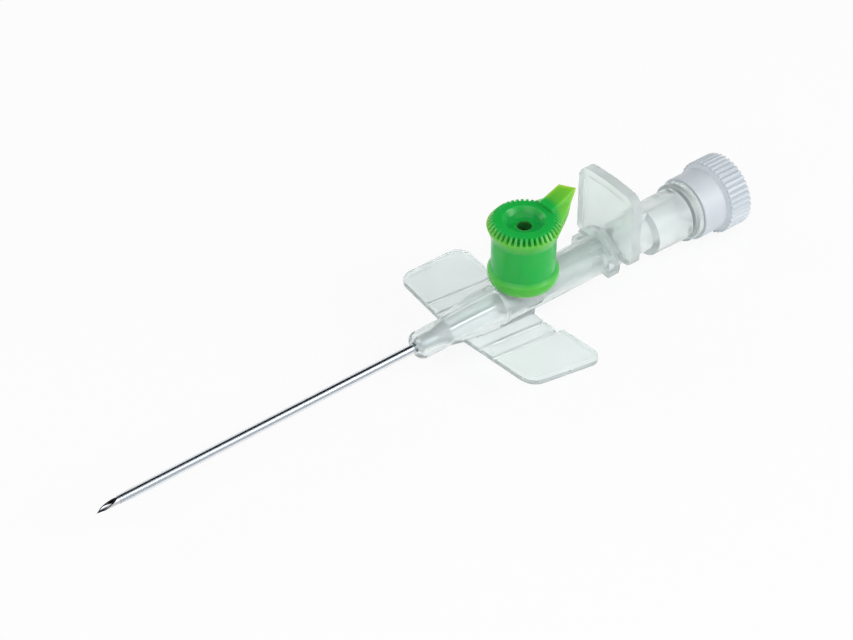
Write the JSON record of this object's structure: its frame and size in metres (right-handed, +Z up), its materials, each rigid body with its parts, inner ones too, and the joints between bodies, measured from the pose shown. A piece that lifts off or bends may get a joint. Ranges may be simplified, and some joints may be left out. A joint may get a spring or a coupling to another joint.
{
  "type": "ported iv cannula",
  "caption": "Peripheral iv cannula with wings: catheter on a winged hub with a capped injection port, steel introducer needle with thumb plate and flash chamber, and a screw Luer cap.",
  "frame": {"origin": "centre of the catheter hub's nose face, on the needle axis, where the exposed catheter starts", "axes": "+X back along the needle towards the Luer cap, so the catheter runs along -X; +Z up through the injection port; +Y to the left seen from behind"},
  "size_m": [0.1018, 0.0288, 0.0192],
  "materials": {
    "catheter_film": "clear fluoropolymer film",
    "ferrule_steel": "bright drawn",
    "hub_plastic": "milky translucent moulding",
    "valve_silicone": "translucent silicone",
    "cap_green": "glossy moulding",
    "needle_steel": "polished",
    "needle_hub_plastic": "clear, slightly milky moulding",
    "cap_white": "satin moulding",
    "filter_porous": "sintered, porous"
  },
  "bodies": {
    "catheter": {"catheter_tube": "catheter_film", "catheter_ferrule": "ferrule_steel", "catheter_hub": "hub_plastic", "valve_sleeve": "valve_silicone"},
    "port_cap": {"port_cap": "cap_green"},
    "needle_assembly": {"needle": "needle_steel", "needle_hub": "needle_hub_plastic"},
    "cap_vent": {"vent_filter": "filter_porous"},
    "luer_cap": {"luer_cap": "cap_white"}
  },
  "joints": [
    {"name": "needle_withdraw", "type": "slide", "parent": "catheter", "child": "needle_assembly", "axis": [1, 0, 0], "range_m": [0, 0.085]},
    {"name": "port_cap_lift", "type": "slide", "parent": "catheter", "child": "port_cap", "axis": [0, 0, 1], "range_m": [0, 0.008]},
    {"name": "luer_cap_draw", "type": "slide", "parent": "needle_assembly", "child": "cap_vent", "axis": [1, 0, 0], "range_m": [0, 0.005]},
    {"name": "luer_cap_turn", "type": "hinge", "parent": "cap_vent", "child": "luer_cap", "pos_m": [0.05, 0, 0], "axis": [1, 0, 0], "range_deg": [0, 360]}
  ],
  "couplings": [
    {"joint": "luer_cap_turn", "follows": "luer_cap_draw", "rad_per_m": 1256.6}
  ]
}
